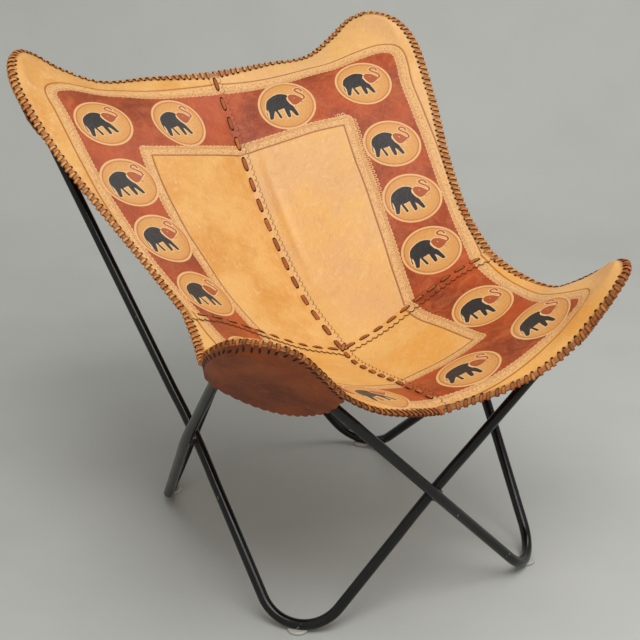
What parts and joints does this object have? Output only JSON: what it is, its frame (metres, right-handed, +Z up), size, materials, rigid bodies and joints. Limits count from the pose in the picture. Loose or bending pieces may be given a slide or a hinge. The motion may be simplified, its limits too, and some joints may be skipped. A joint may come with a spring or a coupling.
{
  "type": "butterfly sling chair",
  "caption": "Low lounge chair with a laced, tooled leather sling hung by its corner pockets from a black bent-tube frame whose welded loops cross and stand on small plastic glides.",
  "frame": {"origin": "on the floor, under the middle of the chair's outline", "axes": "+Z up, -Y towards the open front of the seat, +X to the right for a viewer in front"},
  "size_m": [0.8396, 0.9672, 0.8226],
  "materials": {
    "painted_steel": "gloss black paint",
    "glide_plastic": "satin",
    "tan_leather": "tooled and waxed",
    "dark_leather": "smooth",
    "lacing_leather": "smooth"
  },
  "bodies": {
    "root": {"bend_back_foot_left": "painted_steel", "bend_back_foot_right": "painted_steel", "bend_back_tip_left": "painted_steel", "bend_back_tip_right": "painted_steel", "bend_front_foot_left": "painted_steel", "bend_front_foot_right": "painted_steel", "bend_front_tip_left": "painted_steel", "bend_front_tip_right": "painted_steel", "edge_lacing_front": "lacing_leather", "edge_lacing_left": "lacing_leather", "edge_lacing_right": "lacing_leather", "edge_lacing_top": "lacing_leather", "glide_back_foot_left": "glide_plastic", "glide_back_foot_right": "glide_plastic", "glide_front_foot_left": "glide_plastic", "glide_front_foot_right": "glide_plastic", "leg_back_tip_left_to_back_foot_right": "painted_steel", "leg_back_tip_left_to_front_foot_left": "painted_steel", "leg_back_tip_right_to_back_foot_left": "painted_steel", "leg_back_tip_right_to_front_foot_right": "painted_steel", "leg_front_tip_left_to_back_foot_left": "painted_steel", "leg_front_tip_left_to_front_foot_right": "painted_steel", "leg_front_tip_right_to_back_foot_right": "painted_steel", "leg_front_tip_right_to_front_foot_left": "painted_steel", "panel_back_left": "tan_leather", "panel_back_right": "tan_leather", "panel_seat_left": "tan_leather", "panel_seat_right": "tan_leather", "pocket_back_left": "dark_leather", "pocket_back_right": "dark_leather", "pocket_front_left": "dark_leather", "pocket_front_right": "dark_leather", "seam_thong_back_middle": "lacing_leather", "seam_thong_cross_left": "lacing_leather", "seam_thong_cross_right": "lacing_leather", "seam_thong_seat_middle": "lacing_leather", "weld_back": "painted_steel", "weld_front": "painted_steel", "weld_left": "painted_steel", "weld_right": "painted_steel"}
  },
  "joints": []
}
